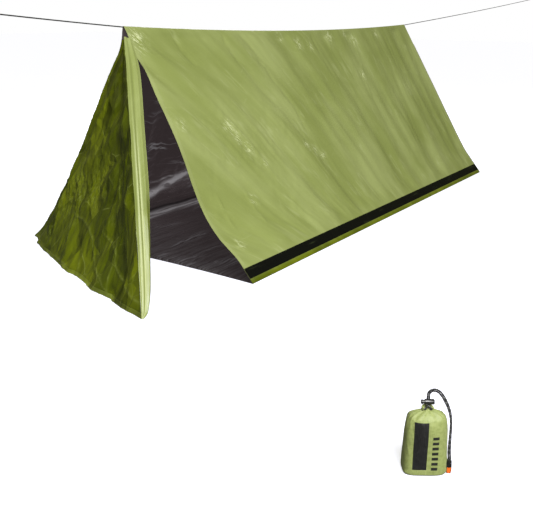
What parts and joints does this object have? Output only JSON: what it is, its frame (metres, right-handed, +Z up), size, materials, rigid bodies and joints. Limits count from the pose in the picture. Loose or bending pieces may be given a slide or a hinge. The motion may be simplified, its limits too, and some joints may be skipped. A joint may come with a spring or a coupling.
{
  "type": "emergency tube tent",
  "caption": "Film tube tent pitched on a taut ridge line, with hinged end doors, seam tape and a filled drawcord stuff sack with cord lock and whistle.",
  "frame": {"origin": "centre of the floor's underside, on the ground", "axes": "+X along the ridge from the open mouth to the rear, +Y towards the far wall, +Z up"},
  "size_m": [6.2398, 2.0461, 1.0805],
  "materials": {
    "film": "glossy crinkled film, metallised grey inside",
    "tape": "black tape",
    "rope": "black braided cord",
    "ripstop": "olive ripstop",
    "packed_film": "folded film",
    "drawcord": "black braided cord with light tracers",
    "lock_plastic": "dark grey moulded",
    "spring_steel": "drawn wire",
    "whistle_black": "moulded",
    "whistle_orange": "moulded"
  },
  "bodies": {
    "tent": {"near_wall": "film", "far_wall": "film", "tent_floor": "film", "seam_tape": "tape", "ridge_line": "rope", "rope_front": "rope", "rope_rear": "rope", "loop_front": "rope", "loop_rear": "rope", "knot_front": "rope", "knot_rear": "rope"},
    "front_flap": {"front_door": "film"},
    "rear_flap": {"rear_door": "film"},
    "sack": {"sack_body": "ripstop", "sack_hem": "ripstop", "packed_bundle": "packed_film", "drawcord_neck": "drawcord", "drawcord_inner_strand": "drawcord", "drawcord_outer_strand": "drawcord", "whistle_shell": "whistle_black", "whistle_insert": "whistle_orange"},
    "lock": {"cord_lock_barrel": "lock_plastic", "cord_lock_spring": "spring_steel"},
    "lock_button": {"cord_lock_plunger": "lock_plastic"}
  },
  "joints": [
    {"name": "front_door_hinge", "type": "hinge", "parent": "tent", "child": "front_flap", "pos_m": [-1.2208, 0.54092, 0.0029], "axis": [0, 0.5428, -0.8398], "range_deg": [-30, 220]},
    {"name": "rear_door_hinge", "type": "hinge", "parent": "tent", "child": "rear_flap", "pos_m": [1.2208, -0.54092, 0.0029], "axis": [0, -0.5428, -0.8398], "range_deg": [0, 250]},
    {"name": "sack_lift", "type": "slide", "parent": "tent", "child": "sack", "axis": [0, 0, 1], "range_m": [0, 0.4]},
    {"name": "lock_slide", "type": "slide", "parent": "sack", "child": "lock", "axis": [0, 0, 1], "range_m": [0, 0.008]},
    {"name": "lock_press", "type": "slide", "parent": "lock", "child": "lock_button", "axis": [0.5373, -0.8434, 0], "range_m": [0, 0.0026], "stiffness_N_per_m": 400, "deforming": ["cord_lock_spring"]}
  ]
}
